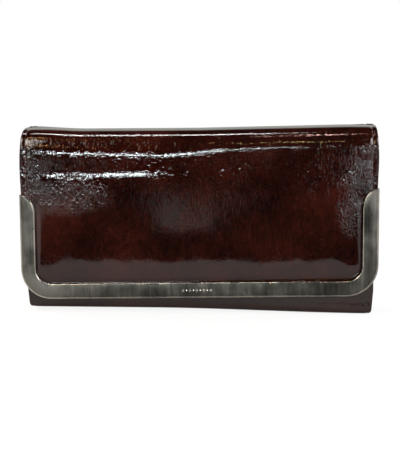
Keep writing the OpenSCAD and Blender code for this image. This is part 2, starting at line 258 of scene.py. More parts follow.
def path_rows(length, step, start_round=None, end_round=None, dense=()):
    """Distances along a path, close together at the ends that are rounded with a radius."""
    a = [k * start_round for k in ROUND_STEPS] if start_round else [0.0]
    b = [length - k * end_round for k in ROUND_STEPS[::-1]] if end_round else [length]
    mid = []
    s = a[-1]
    while s < b[0] - step * 0.6:
        s += min(step, FINE_STEP) if any(lo <= s <= hi for lo, hi in dense) else step
        mid.append(s)
    if mid and mid[-1] > b[0] - step * 0.3:
        mid.pop()
    return np.array(a + mid + b)


class Path:
    """A curve in the (y, z) plane, with the distance along it."""

    def __init__(self, points):
        self.p = np.array(points, float)
        step = np.diff(self.p, axis=0)
        self.s = np.concatenate([[0], np.cumsum(np.hypot(step[:, 0], step[:, 1]))])
        tangent = np.gradient(self.p, self.s, axis=0)
        self.t = tangent / np.linalg.norm(tangent, axis=1)[:, None]

    def at(self, s):
        """Place and direction (y, z, ty, tz) at a distance along the path."""
        y, z, ty, tz = (np.interp(s, self.s, k) for k in (*self.p.T, *self.t.T))
        n = np.hypot(ty, tz)
        return y, z, ty / n, tz / n


def arc(cy, cz, r, a0, a1, n):
    a = np.radians(np.linspace(a0, a1, n))
    return [(cy + r * math.cos(k), cz + r * math.sin(k)) for k in a]


def upright(y, z0, z1):
    return Path([(y, z) for z in np.linspace(z0, z1, 12)])


def pillow(name, path, rows, cols, outer, inner, material, side=1, width=None, lift=None, sink=None,
           r=None, open_start=False, open_end=False, warp=None, flat_shift=0.0):
    """A sheet of leather with rounded edges along a path: rows are distances along it and cols are x at
    full width. outer and inner are its faces' offsets along the path's normal, which is on the left of
    the path if side is 1."""
    rows, cols = np.asarray(rows, float), np.asarray(cols, float)
    y, z, ty, tz = path.at(rows)
    ny, nz = -side * tz, side * ty
    w = np.full(len(rows), cols[-1]) if width is None else width(y, z)
    mid, half = (outer + inner) / 2, (outer - inner) / 2
    r = half if r is None else r
    x = cols[None, :] * (w / cols[-1])[:, None]
    to_end = np.full(len(rows), 99.0)
    if not open_start:
        to_end = np.minimum(to_end, rows - rows[0])
    if not open_end:
        to_end = np.minimum(to_end, rows[-1] - rows)
    g = edge_round(w[:, None] - np.abs(x), r) * edge_round(to_end, r)[:, None]
    zero = np.zeros_like(x)
    place = (x, y[:, None] + zero, z[:, None] + zero, rows[:, None] + zero)
    points, flats = [], []
    for sign, relief in ((1, lift), (-1, sink)):
        off = mid + (sign * half + (zero if relief is None else relief(*place))) * g
        p = np.stack([x, y[:, None] + ny[:, None] * off, z[:, None] + nz[:, None] * off], -1)
        points.append(p)
        flats.append(np.stack([x, rows[:, None] + flat_shift + zero, sign * half + zero], -1))
    nv, nx = x.shape
    front = np.arange(nv * nx).reshape(nv, nx)
    back = front + nv * nx
    back[:, 0], back[:, -1] = front[:, 0], front[:, -1]
    if not open_start:
        back[0] = front[0]
    if not open_end:
        back[-1] = front[-1]
    a = points[0][1, nx // 2] - points[0][0, nx // 2]
    b = points[0][0, nx // 2 + 1] - points[0][0, nx // 2]
    flip = np.cross(a, b) @ np.array([0, ny[0], nz[0]]) < 0
    faces = quads(front, flip) + quads(back, not flip)
    for is_open, i, turn in ((open_start, 0, True), (open_end, -1, False)):
        if is_open:
            faces += quads(np.stack([front[i], back[i]]), flip ^ turn)
    used = np.unique(np.array([k for f in faces for k in f]))
    remap = np.full(2 * nv * nx, -1)
    remap[used] = np.arange(len(used))
    verts, flat = (np.concatenate([k.reshape(-1, 3) for k in pair])[used] for pair in (points, flats))
    kept = []
    for f in faces:
        loop = [int(remap[k]) for k in f]
        loop = [k for i, k in enumerate(loop) if k != loop[i - 1]]
        if len(set(loop)) > 2:
            kept.append(tuple(loop))
    return make(name, verts if warp is None else warp(verts), kept, material, flat)


def loft(name, rows, material, sharp, warp=None):
    """A closed section drawn along rows of points, with its ends closed."""
    rows = np.array(rows)
    verts = rows.reshape(-1, 3)
    faces = ring_faces(*rows.shape[:2])
    obj = make(name, verts if warp is None else warp(verts), faces, material, sharp=sharp)
    outward(obj)
    return obj


def lathe(name, profile, centre, material, n=40, direction=-1):
    """A turned piece on an axis along Y: profile holds (radius, distance out from centre) pairs."""
    a = np.linspace(0, 2 * math.pi, n, endpoint=False)
    rings = [np.stack([centre[0] + r * np.cos(a), np.full(n, centre[1] + direction * d),
                       centre[2] + r * np.sin(a)], -1) for r, d in profile]
    faces = [f[::-direction] for f in ring_faces(len(profile), n)]
    return make(name, np.concatenate(rings), faces, material, sharp=35)


def join(name, objects, sharp=None):
    """One mesh object from several, keeping the first one's material."""
    bm = bmesh.new()
    for o in objects:
        bm.from_mesh(o.data)
    mesh = bpy.data.meshes.new(name)
    bm.to_mesh(mesh)
    bm.free()
    mesh.materials.append(objects[0].data.materials[0])
    mesh.shade_smooth()
    if sharp is not None:
        mesh.set_sharp_from_angle(angle=sharp)
    obj = bpy.data.objects.new(name, mesh)
    bpy.context.collection.objects.link(obj)
    for o in objects:
        bpy.data.objects.remove(o)
    return obj


def prism(name, outline, z0, z1, material, bevel, segments=3, origin=(0, 0, 0)):
    """An outline in x and y, drawn up from z0 to z1 and bevelled."""
    bm = bmesh.new()
    face = bm.faces.new([bm.verts.new((p[0], p[1], z0)) for p in outline])
    out = bmesh.ops.extrude_face_region(bm, geom=[face])
    for v in out["geom"]:
        if isinstance(v, bmesh.types.BMVert):
            v.co.z = z1
    bmesh.ops.recalc_face_normals(bm, faces=bm.faces)
    edges = [e for e in bm.edges if e.is_manifold and e.calc_face_angle(0) > 0.6]
    bmesh.ops.bevel(bm, geom=edges, offset=bevel, segments=segments, profile=0.5, affect="EDGES",
                    clamp_overlap=True)
    verts = [[a + b for a, b in zip(v.co, origin)] for v in bm.verts]
    faces = [tuple(v.index for v in f.verts) for f in bm.faces]
    bm.free()
    return make(name, verts, faces, material, sharp=40)


def rect(x0, y0, x1, y1):
    return [(x0, y0), (x1, y0), (x1, y1), (x0, y1)]


def tube(name, points, radius, material, n=10, closed=False):
    """A round wire along a line of points."""
    p = np.array(points, float)
    t = np.roll(p, -1, 0) - np.roll(p, 1, 0) if closed else np.gradient(p, axis=0)
    t /= np.linalg.norm(t, axis=1)[:, None]
    ref = np.array([0.0, 0, 1]) if abs(t[0][2]) < 0.9 else np.array([0.0, 1, 0])
    a = np.linspace(0, 2 * math.pi, n, endpoint=False)
    verts = []
    for q, d in zip(p, t):
        u = np.cross(ref, d)
        u /= np.linalg.norm(u)
        ref = np.cross(d, u)
        verts.append(q + radius * (np.cos(a)[:, None] * u + np.sin(a)[:, None] * ref))
    return make(name, np.concatenate(verts), ring_faces(len(p), n, closed=closed), material)


def fit(piece, body, cad_nodes):
    """Hang a rigid piece on its body, in place of its CAD nodes."""
    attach(piece, body)
    if cad_nodes:
        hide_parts(*cad_nodes)


# ---------- shader nodes
class Wire:
    """What leaves a shader node. Arithmetic on it adds math nodes."""

    def __init__(self, tree, socket):
        self.tree, self.socket = tree, socket

    def math(self, operation, a, b):
        return node(self.tree, "Math", {0: a, 1: b}, operation=operation)

    def __add__(self, other):
        return self.math("ADD", self, other)

    def __sub__(self, other):
        return self.math("SUBTRACT", self, other)

    def __rsub__(self, other):
        return self.math("SUBTRACT", other, self)

    def __mul__(self, other):
        return self.math("MULTIPLY", self, other)

    def __abs__(self):
        return self.math("ABSOLUTE", self, 0.0)

    def mapped(self, lo, hi, out_lo=0.0, out_hi=1.0):
        return node(self.tree, "MapRange", {0: self, 1: lo, 2: hi, 3: out_lo, 4: out_hi})

    def vector(self, operation, other):
        return node(self.tree, "VectorMath", {0: self, 1: other}, operation=operation)

    def scaled(self, scale):
        return node(self.tree, "Mapping", {"Vector": self, "Scale": scale})

    def noise(self, scale, detail=2.0, rough=0.5, distortion=0.0, output="Fac"):
        inputs = {"Vector": self, "Scale": scale, "Detail": detail, "Roughness": rough,
                  "Distortion": distortion}
        return node(self.tree, "TexNoise", inputs, output)

    def axes(self):
        outputs = node(self.tree, "SeparateXYZ", {0: self}).socket.node.outputs
        return [Wire(self.tree, k) for k in outputs]

    def ramp(self, *stops):
        """Colours by value, from (value, colour) pairs."""
        out = node(self.tree, "ValToRGB", {"Fac": self})
        elements = out.socket.node.color_ramp.elements
        while len(elements) < len(stops):
            elements.new(0.5)
        for element, (place, colour) in zip(elements, stops):
            element.position = place
            element.color = (*colour, 1)
        return out

    def bump(self, distance, under=None):
        inputs = {"Height": self, "Distance": distance, "Strength": 1.0}
        if under is not None:
            inputs["Normal"] = under
        return node(self.tree, "Bump", inputs)

    def to(self, *sockets):
        for socket in sockets:
            self.tree.links.new(self.socket, socket)


def node(tree, kind, inputs=None, output=0, **props):
    """Add a shader node and return what leaves it."""
    n = tree.nodes.new("ShaderNode" + kind)
    for k, v in props.items():
        setattr(n, k, v)
    for k, v in (inputs or {}).items():
        if isinstance(v, Wire):
            v.to(n.inputs[k])
        else:
            n.inputs[k].default_value = v
    return Wire(tree, n.outputs[output])


def new_material(name, values):
    """A material, its node tree and its shader's inputs, some of them set."""
    material = bpy.data.materials.new(name)
    material.use_nodes = True
    inputs = material.node_tree.nodes["Principled BSDF"].inputs
    for key, value in values.items():
        inputs[key].default_value = value
    return material, material.node_tree, inputs


def flat_coords(tree):
    return node(tree, "Attribute", output="Vector", attribute_name="flat")


def object_coords(tree):
    return node(tree, "TexCoord", output="Object")


# ---------- materials
# Where the flap's leather is more crinkled: middle and radii in mm on the flat leather, and how much.
CRINKLED = [((-70, 47), (25, 11), 3.8), ((-93, 31), (9, 17), 2.4), ((92.5, 25.5), (6, 5), 3.4),
            ((88, 41), (11, 9), 2.6), ((83, 60), (9, 13), 2.6)]


def patent(name, dark, light, crinkle=1.0, coat_rough=0.03):
    """Crinkled patent leather: a mottled dark colour under a clear coat broken up by fine creases."""
    material, tree, skin = new_material(name, {"Specular IOR Level": 0.0, "Coat Weight": 1.0,
                                               "Coat Roughness": coat_rough, "Coat IOR": 1.5})
    v = flat_coords(tree)
    cloud = v.noise(210, 3, 0.6)
    fibre = v.scaled((980.0, 360.0, 400.0)).noise(1.0, 4, 0.7, 0.6)
    mix = v.noise(30, 2, 0.5) * 0.42 + cloud * 0.16 + fibre * 0.42
    middle = tuple(0.62 * a + 0.38 * b for a, b in zip(dark, light))
    mix.ramp((0.39, dark), (0.50, middle), (0.61, light)).to(skin["Base Color"])
    cloud.mapped(0.3, 0.7, 0.45, 0.6).to(skin["Roughness"])

    warp = v.noise(240.0, 2.0, output="Color").vector("SUBTRACT", (0.5, 0.5, 0.5))
    bent = v.vector("ADD", node(tree, "VectorMath", {0: warp, "Scale": 0.0030}, operation="SCALE"))

    def leaning(turn, scale):
        return node(tree, "Mapping", {"Vector": bent, "Rotation": (0, 0, turn), "Scale": scale})

    lean_left, lean_right = (leaning(turn, (1500.0, 240.0, 240.0)).noise(1.0, 0.6, 0.5)
                             for turn in (0.62, -0.62))
    strokes = node(tree, "Mix", {0: v.noise(34, 1, 0.5).mapped(0.45, 0.55), 2: lean_left, 3: lean_right})
    hairs = [abs(leaning(turn, (560.0, 130.0, 130.0)).noise(1.0, 1.0, 0.5) - 0.5).mapped(0.0, 0.05)
             for turn in (0.75, -0.65)]
    crease = node(tree, "TexVoronoi", {"Vector": bent, "Scale": 420.0}, "Distance",
                  feature="DISTANCE_TO_EDGE")
    height = crease.mapped(0.0, 0.10) * 0.16 + strokes * 0.8 + (hairs[0] + hairs[1]) * 0.13

    down_the_flap = v.axes()[1]
    zone = down_the_flap.mapped(0.010, 0.018, 0.6, 1.0) * down_the_flap.mapped(0.038, 0.062, 1.0, 0.22)
    for (x, y), (rx, ry), gain in CRINKLED:
        away = v.vector("SUBTRACT", m(x, y, 0)).vector("MULTIPLY", (1 / (rx * MM), 1 / (ry * MM), 0.0))
        away = node(tree, "VectorMath", {0: away}, "Value", operation="LENGTH")
        zone = zone + away.mapped(0.45, 1.1, gain, 0.0)
    height = height * (v.noise(30, 2, 0.5).mapped(0.40, 0.62, 0.7, 1.15) * zone)
    specks = node(tree, "TexVoronoi", {"Vector": v, "Scale": 170.0}, "Distance").mapped(0.03, 0.09, 1.0, 0.0)
    specks.bump(0.00003, height.bump(0.000078 * crinkle)).to(skin["Normal"], skin["Coat Normal"])
    return material


def plain_leather(name, dark, light, grain, depth, rough):
    material, tree, skin = new_material(name, {"Specular IOR Level": 0.4})
    v = flat_coords(tree)
    broad = v.noise(60, 3, 0.6)
    broad.ramp((0.35, dark), (0.65, light)).to(skin["Base Color"])
    broad.mapped(0.3, 0.7, rough - 0.08, rough + 0.08).to(skin["Roughness"])
    pores = node(tree, "TexVoronoi", {"Vector": v, "Scale": grain * 1.6}, "Distance")
    (pores * 0.7 + v.noise(grain, 3, 0.6)).bump(depth).to(skin["Normal"])
    return material


def brushed(name, colours, rough):
    """Antique metal with brush lines that run along Z, with painted light: lighter on the arms, lighter at
    the bar's left end than at its right, and a painted highlight at the lower corners.
    """
    material, tree, skin = new_material(name, {"Metallic": 1.0})
    v = object_coords(tree)
    lines = v.scaled((1500.0, 1500.0, 45.0)).noise(1.0, 3, 0.7)
    wide = v.scaled((330.0, 330.0, 18.0)).noise(1.0, 2, 0.5)
    patch = v.noise(55, 3, 0.55)
    x, _, z = v.axes()
    arms = z.mapped(0.015, 0.030)
    # Painted light: the arms are painted lighter than the bar, the bar lighter at its left end than at its
    # right, and the bar's lower corners get a painted highlight.
    painted_light_by_part = node(tree, "Mix", {0: arms, 2: x.mapped(-0.06, 0.03, 0.028, -0.050), 3: 0.076})
    painted_corner_highlight = abs(x).mapped(0.076, 0.088, 0.0, 0.06) * (1.0 - arms)
    mix = lines * 0.26 + wide * 0.16 + patch * 0.58 + (painted_light_by_part + painted_corner_highlight)
    mix.ramp(*zip((0.36, 0.5, 0.64), colours)).to(skin["Base Color"])
    lines.bump(0.000012).to(skin["Normal"])
    patch.mapped(0.35, 0.65, *rough).to(skin["Roughness"])
    return material


def polished(name, dark, light):
    material, tree, skin = new_material(name, {"Metallic": 1.0})
    v = object_coords(tree)
    smudge = v.noise(120, 3, 0.5)
    smudge.ramp((0.36, dark), (0.64, light)).to(skin["Base Color"])
    smudge.mapped(0.3, 0.7, 0.26, 0.32).to(skin["Roughness"])
    v.noise(2600, 2, 0.5).bump(0.000006).to(skin["Normal"])
    return material


def waves(v, direction, scale, distortion, detail=2.0):
    inputs = {"Vector": v, "Scale": scale, "Distortion": distortion, "Detail": detail}
    return node(v.tree, "TexWave", inputs, "Fac", bands_direction=direction)


def thread_material(name, dark, light):
    material, tree, skin = new_material(name, {"Roughness": 0.6, "Sheen Weight": 0.25})
    ply = waves(object_coords(tree), "DIAGONAL", 900.0, 1.5, 1.0)
    ply.ramp((0.2, dark), (0.8, light)).to(skin["Base Color"])
    ply.bump(0.00006).to(skin["Normal"])
    return material


def tape_material(name, dark, light):
    """Woven zip tape: a herringbone of fine ribs."""
    material, tree, skin = new_material(name, {"Roughness": 0.8, "Sheen Weight": 0.3})
    v = object_coords(tree)
    weave = waves(v, "X", 620.0, 0.4) * waves(v, "DIAGONAL", 900.0, 0.6)
    weave.ramp((0.1, dark), (0.9, light)).to(skin["Base Color"])
    weave.bump(0.00012).to(skin["Normal"])
    return material


LEATHER = patent("patent_leather", (0.0030, 0.0006, 0.0004), (0.0250, 0.0042, 0.0023))
# The front panel's leather: the same patent leather in greyer colours, painted shade and painted reflection
# for the shade under the flap and the floor seen in it; its coat is also a little rougher.
LEATHER_CALM_PAINTED_SHADE = patent("patent_leather_calm_painted_shade", (0.0075, 0.0034, 0.0028), (0.0215, 0.0082, 0.0060), 2.2, 0.07)
LINED = plain_leather("lining_leather", (0.030, 0.0108, 0.0068), (0.057, 0.0222, 0.0142), 700, 0.0001, 0.55)
LINED_FINE = plain_leather("pocket_leather", (0.026, 0.009, 0.006), (0.048, 0.018, 0.011), 1000, 0.00007, 0.5)
METAL = brushed("brushed_gunmetal", [(0.026, 0.026, 0.023), (0.078, 0.075, 0.065), (0.168, 0.160, 0.140)],
                (0.26, 0.4))
# A lighter copy of the frame's metal for its edges and the lozenges: a painted highlight for the light those
# edges catch.
METAL_RIM_PAINTED_HIGHLIGHT = brushed("metal_edge_painted_highlight", [(0.20, 0.19, 0.165), (0.35, 0.335, 0.295), (0.52, 0.50, 0.44)],
                    (0.2, 0.32))
NICKEL = polished("polished_nickel", (0.42, 0.405, 0.365), (0.56, 0.54, 0.49))
NICKEL_DARK = polished("aged_nickel", (0.28, 0.272, 0.24), (0.34, 0.33, 0.295))
THREAD = thread_material("thread_dark", (0.020, 0.006, 0.005), (0.085, 0.030, 0.022))
TAPE = tape_material("woven_tape", (0.016, 0.008, 0.006), (0.050, 0.028, 0.022))


# ---------- leather paths
def build_back_path():
    pts = [(MID_SPINE, 0.0), (BACK_FACE - BASE_R, 0.0)]
    pts += arc(BACK_FACE - BASE_R, BASE_R, BASE_R, -90, 0, 9)[1:]
    pts += [(BACK_FACE, z) for z in np.linspace(BASE_R, HEIGHT - BACK_R, 30)[1:]]
    pts += arc(BACK_FACE - BACK_R, HEIGHT - BACK_R, BACK_R, 0, 90, 17)[1:]
    return Path(pts + [(MID_SPINE, HEIGHT)])


# Tilt of the flap's face above the horizontal, in degrees, by distance from the middle of the spine.
ROLL = [(0, 90), (2.5, 89), (5.0, 85), (7.8, 75), (10.2, 60), (12, 47.5), (13.6, 39), (15.8, 28.5),
        (18.2, 20), (20.8, 14), (23, 9.2), (24.9, 5.0), (26.4, 2.8), (28.5, 1.6), (31.5, 1.6), (34, 2.1),
        (38, 1.6), (46, 0.8), (54, 0.1), (120, 0.0)]


def build_flap_path():
    step = 0.25
    s = np.arange(0, 130, step)
    tilt = np.radians(np.interp(s, *zip(*ROLL)))
    y = MID_SPINE - np.concatenate([[0], np.cumsum(np.sin(tilt[:-1]) * step)])
    z = HEIGHT - np.concatenate([[0], np.cumsum(np.cos(tilt[:-1]) * step)])
    return Path(np.stack([y, z], -1)[z >= FLAP_Z0])


def build_front_path():
    pts = [(MID_SPINE, 0.0), (PANEL_FACE + BASE_R, 0.0)]
    pts += arc(PANEL_FACE + BASE_R, BASE_R, BASE_R, -90, -180, 9)[1:]
    return Path(pts + [(PANEL_FACE, z) for z in np.linspace(BASE_R, PANEL_TOP - 1.0, 30)[1:]])


BACK_PATH, FLAP_PATH, FRONT_PATH = build_back_path(), build_flap_path(), build_front_path()
FLAP_LEN, BACK_LEN, FRONT_LEN = FLAP_PATH.s[-1], BACK_PATH.s[-1], FRONT_PATH.s[-1]


# ---------- outlines
def frame_inside(x, z):
    """Distance in from the frame's inner edge, and a large one above the arms."""
    r = CORNER_R - BAND
    qx, qz = np.abs(x) - (FRAME_W - CORNER_R), (FRAME_Z0 + CORNER_R) - z
    outside = np.hypot(np.maximum(qx, 0), np.maximum(qz, 0)) + np.minimum(np.maximum(qx, qz), 0) - r
    above = np.maximum(z - (ARM_Z - 6), 0)
    return np.hypot(np.maximum(-outside, 0), above * 1.1)


def flap_half_width(y, z):
    """The flap's half width, with its lower corners rounded."""
    r = CORNER_R - 0.85
    low = np.maximum(FLAP_Z0 + r - z, 0)
    return FLAP_W - r + np.sqrt(np.clip(r * r - low ** 2, 0.0, None)) + 0.6 * hump(z, 80, 11)


def body_half_width(y, z):
    w = BODY_W + 0.3 - 1.1 * np.clip((12 - z) / 12, 0, 1)
    return w - 0.9 * (1 - edge_round(np.maximum(z, 0) + 0.05, 1.8))


def back_half_width(y, z):
    """The back's half width grows to the flap's over the fold at the top."""
    t = smooth((z - (HEIGHT - 9)) / 8.5)
    return body_half_width(y, z) * (1 - t) + FLAP_W * t


# ---------- relief
def groove(distance, depth=0.22, width=0.7):
    return -depth * hump(distance, 0, width)


def leather_relief(x, s, calm=1.0):
    """Waves and creases of the patent leather, in millimetres."""
    broad = 0.040 * perlin(x, s, 34.0, 3.1) + 0.010 * perlin(x, s, 11.0, 8.7)
    return calm * (broad + 0.004 * perlin(x, s, 3.2, 5.5) + 0.006 * (ridges(x, s, 4.5, 1.7) - 0.6))


def swell(s, centre, width, degrees):
    """Height gained over a stretch where the leather is tilted up by some more degrees."""
    return np.tan(np.radians(degrees)) * width * 1.772 * 0.5 * (1 + np.tanh(1.2 * (s - centre) / width))


# Extra tilt of the upper crease across the flap, as (x, degrees).
CREASE_TILT = [(-97, -1.4), (-84, -1.2), (-56, -0.6), (-33, 1.0), (-18, 1.8), (-8, 0.6), (3, -1.6),
               (16, -3.6), (27, -4.8), (42, -5.6), (97, -5.6)]


def flap_lift(x, y, z, s):
    """How far the flap's face stands out from its flat plane."""
    d = frame_inside(x, z)
    rise = 1 - np.exp(-d / (7.0 + 2.2 * perlin(x, z, 9.0, 2.6)))
    proud = np.maximum(FRONT_FACE - y, 0) * (rise - 1)
    proud -= 0.5 * hump(d, 0, 1.1)
    proud -= 0.55 * smooth((np.abs(x) - 74) / 23) ** 2 * smooth((z - 55) / 15)
    ripple = swell(s, 24.0, 4.0, np.interp(x, *zip(*CREASE_TILT)))
    ripple += swell(s, 35.3, 1.7, 5.7 * smooth((4 - x) / 40))
    ripple += swell(s, 43.0, 5.5, 1.3) * hump(x, -70, 19) * (1 - smooth((s - 50) / 60))
    edge = groove(FLAP_SEAM - np.abs(x)) * smooth((z - ARM_Z + 8) / 3)
    free = 0.35 + 0.65 * smooth((s - 2) / 6)
    return proud + ripple + leather_relief(x, s) * np.clip(rise + 0.15, 0, 1) * free + edge


def back_lift(x, y, z, s):
    edge = groove(BODY_SEAM - np.abs(x)) + groove(z - BASE_SEAM_Z) * (y > BACK_FACE - 1)
    return leather_relief(x, s + 300, 0.6) - 0.1 + edge


def front_lift(x, y, z, s):
    edge = groove(BODY_SEAM - np.abs(x)) + groove(PANEL_SEAM_Z - z)
    return leather_relief(x, s + 600, 0.6) - 0.1 + edge


def lining_lift(x, y, z, s):
    return -0.05 * perlin(x, s, 14.0, 2.0)


# ---------- leather pieces
flap_cols = near_edge(FLAP_W, SKIN / 2, 1.15, dense=[(FLAP_SEAM - 1.2, FLAP_SEAM + 1.2)])
body_cols = near_edge(BODY_W, SKIN / 2, 1.6, dense=[(BODY_SEAM - 1.2, BODY_SEAM + 1.2)])
flap_leather = pillow("flap_leather", FLAP_PATH, path_rows(FLAP_LEN, 0.95, end_round=SKIN / 2), flap_cols,
                      0.0, -SKIN, LEATHER, side=-1, width=flap_half_width, lift=flap_lift, open_start=True,
                      warp=hang)
back_leather = pillow("back_leather", BACK_PATH, path_rows(BACK_LEN, 1.3), body_cols, 0.0, -SKIN, LEATHER,
                      side=-1, width=back_half_width, lift=back_lift, open_start=True, open_end=True,
                      warp=body_shape, flat_shift=300)
# The front panel takes the greyer copy of the patent leather: painted shade and painted reflection.
front_leather = pillow("front_leather", FRONT_PATH, path_rows(FRONT_LEN, 1.3, end_round=SKIN / 2), body_cols,
                       0.0, -SKIN, LEATHER_CALM_PAINTED_SHADE, width=body_half_width, lift=front_lift, open_start=True,
                       warp=sag, flat_shift=600)


def lining(name, path, length, half_width, width, end_round, **rest):
    """A thin sheet behind a panel's leather, a little narrower than the leather."""
    return pillow(name, path, path_rows(length, 2.2, end_round=end_round),
                  near_edge(half_width - TURNED_EDGE, LINING / 2, 3.0), -SKIN, -LAMINATE, LINED,
                  width=lambda y, z: width(y, z) - TURNED_EDGE, sink=lining_lift, open_start=True, **rest)


flap_lining = lining("flap_lining_sheet", FLAP_PATH, FLAP_LEN - 1.2, FLAP_W, flap_half_width, 0.3,
                     side=-1, r=0.3, warp=hang, flat_shift=900)
back_lining = lining("back_lining_sheet", BACK_PATH, BACK_LEN, BODY_W, back_half_width, None,
                     side=-1, open_end=True, warp=body_shape, flat_shift=1200)
front_lining = lining("front_lining_sheet", FRONT_PATH, FRONT_LEN - 1.2, BODY_W, body_half_width, 0.3,
                      r=0.3, warp=sag, flat_shift=1500)
for piece in (flap_leather, flap_lining):
    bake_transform(piece)
for piece in (back_leather, back_lining):
    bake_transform(piece)
for piece in (front_leather, front_lining):
    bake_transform(piece)

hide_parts("flap_skin", "flap_filler", "spine_skin", "spine_filler")
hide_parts("back_skin", "back_filler", "base_skin", "base_board")
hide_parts("front_skin", "front_filler")
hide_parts("flap_lining", "spine_lining")
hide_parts("back_lining", "base_lining")
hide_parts("front_lining")
for piece, cover, half_width, length in ((flap_lining, flap_leather, FLAP_W, FLAP_LEN),
                                         (back_lining, back_leather, BODY_W, BACK_LEN),
                                         (front_lining, front_leather, BODY_W, FRONT_LEN)):
    2 * (half_width - TURNED_EDGE) * MM
    length * MM


# ---------- stitches
def stitch_mesh(name, places, length=2.2, width=0.46, height=0.34, warp=None):
    """Separate stitches. A place is (point, direction along the seam, outward normal)."""
    slant, sides = 0.16, 6
    rings = [(-0.5, 0.25), (-0.42, 0.75), (-0.2, 1.0), (0.2, 1.0), (0.42, 0.75), (0.5, 0.25)]
    verts, faces = [], []
    for point, along, out in places:
        along, out = np.array(along, float), np.array(out, float)
        along /= np.linalg.norm(along)
        out = out - along * (out @ along)
        out /= np.linalg.norm(out)
        along = along * math.cos(slant) + np.cross(along, out) * math.sin(slant)
        across = np.cross(along, out)
        faces += ring_faces(len(rings), sides, len(verts))
        for t, k in rings:
            arch = (1 - (2 * t) ** 2) * 0.12
            for j in range(sides):
                a = 2 * math.pi * j / sides
                verts.append(np.array(point) + along * t * length + across * k * width / 2 * math.cos(a)
                             + out * (arch + k * height / 2 * math.sin(a)))
    verts = np.array(verts)
    return make(name, verts if warp is None else warp(verts), faces, THREAD)


def seam_on_path(path, side, s0, s1, x_at, lift):
    """Places for two seams that follow a path, one at each side."""
    count = int((s1 - s0) / STITCH_STEP)
    places = []
    for s in s0 + (np.arange(count) + 0.5) * (s1 - s0) / count:
        y, z, ty, tz = (float(k) for k in path.at(s))
        ny, nz = -side * tz, side * ty
        for x in (-x_at(y, z), x_at(y, z)):
            h = float(lift(*(np.array([k]) for k in (x, y, z, s)))[0]) - SEAM_SUNK
            places.append(((x, y + ny * h, z + nz * h), (0, ty, tz), (0, ny, nz)))
    return places


def line_of_stitches(start, end, out):
    start, end = np.array(start, float), np.array(end, float)
    count = int(np.linalg.norm(end - start) / STITCH_STEP)
    return [(start + (i + 0.5) * (end - start) / count, end - start, out) for i in range(count)]


def row_of_stitches(half_width, y, z, out):
    return line_of_stitches((-half_width, y, z), (half_width, y, z), out)


arm_s = float(np.interp(-(ARM_Z - 1.0), -FLAP_PATH.p[:, 1], FLAP_PATH.s))
flap_places = seam_on_path(FLAP_PATH, -1, 0.4, arm_s, lambda y, z: FLAP_SEAM, flap_lift)
flap_stitches = stitch_mesh("flap_stitches", flap_places, warp=hang)
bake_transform(flap_stitches)
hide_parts("flap_stitching", "spine_stitching")
base_s = BACK_FACE - BASE_R - MID_SPINE + math.pi / 2 * BASE_R
back_places = seam_on_path(BACK_PATH, -1, base_s + 6.0, BACK_LEN - 0.4,
                           lambda y, z: float(back_half_width(y, np.array(z))) - SEAM_IN, back_lift)
back_places += row_of_stitches(BODY_SEAM - 1, BACK_FACE - THREAD_IN, BASE_SEAM_Z, (0, 1, 0))
back_stitches = stitch_mesh("back_stitches", back_places, warp=body_shape)
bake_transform(back_stitches)
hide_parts("back_stitching")
front_places = row_of_stitches(BODY_SEAM - 1, PANEL_FACE + THREAD_IN, PANEL_SEAM_Z, (0, -1, 0))
for x in (-BODY_SEAM, BODY_SEAM):
    y = PANEL_FACE + THREAD_IN
    front_places += line_of_stitches((x, y, 12), (x, y, PANEL_TOP - 3.5), (0, -1, 0))
front_stitches = stitch_mesh("front_stitches", front_places, warp=sag)
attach(front_stitches, "front_panel")
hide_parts("front_stitching")


# ---------- metal frame
def frame_outer():
    """Points down the left arm, round the bottom and up the right arm, each as
    (x, z, inward x, inward z, band width)."""
    hw, r, tip = FRAME_W, CORNER_R, 10.5
    pts = []
    for k in np.linspace(0, 1, 22):
        drop = 1 - math.cos(k * math.pi / 2)
        pts.append((-hw, ARM_Z - tip * drop, 1, 0, max(BAND * math.sqrt(1 - (1 - drop) ** 2), 0.25)))
    pts += [(-hw, z, 1, 0, BAND) for z in np.linspace(ARM_Z - tip, FRAME_Z0 + r, 16)[1:]]
    for a in np.radians(np.linspace(180, 270, 22))[1:]:
        c, s = math.cos(a), math.sin(a)
        pts.append((-hw + r + r * c, FRAME_Z0 + r + r * s, -c, -s, BAND))
    pts += [(x, FRAME_Z0, 0, 1, BAND) for x in np.linspace(-hw + r, 0, 40)[1:]]
    return pts + [(-x, z, -ix, iz, w) for x, z, ix, iz, w in pts[-2::-1]]


